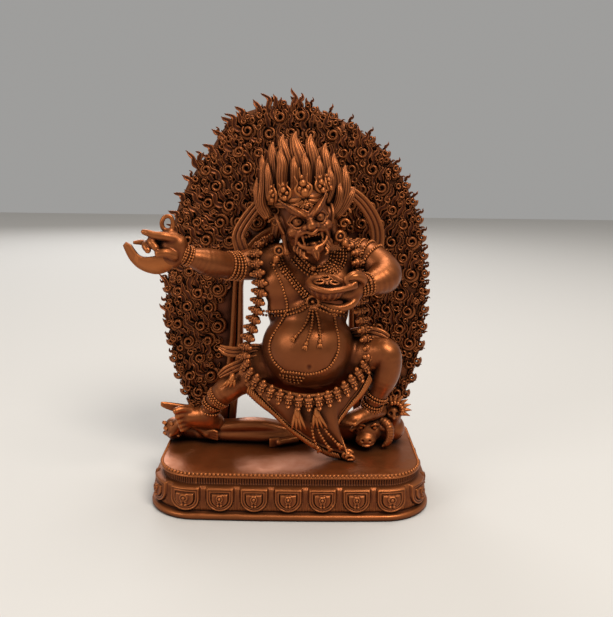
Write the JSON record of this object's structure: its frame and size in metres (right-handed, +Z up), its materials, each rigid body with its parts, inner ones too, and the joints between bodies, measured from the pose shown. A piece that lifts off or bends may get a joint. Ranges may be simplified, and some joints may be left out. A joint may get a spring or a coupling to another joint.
{
  "type": "protector deity statuette",
  "caption": "Cast copper-bronze statuette of a striding wrathful protector with knife and skull cup, before an arched flame halo on a lotus plinth.",
  "frame": {"origin": "middle of the plinth's flat underside, on the surface it stands on", "axes": "+Z up, the figure faces -Y, +X to the right for someone who faces the statue"},
  "size_m": [0.1245, 0.0677, 0.1648],
  "materials": {
    "plinth_bronze": "copper-brown patinated bronze, satin, brighter on the worn top and petal faces, dark in the recesses",
    "halo_bronze": "dark red-brown patinated bronze, satin, with worn orange edges on the flames",
    "figure_bronze": "copper-brown patinated bronze, satin, with golden-orange worn highlights and nearly black recesses"
  },
  "bodies": {
    "root": {"lotus_plinth": "plinth_bronze", "flame_halo": "halo_bronze", "protector_figure": "figure_bronze"}
  },
  "joints": []
}
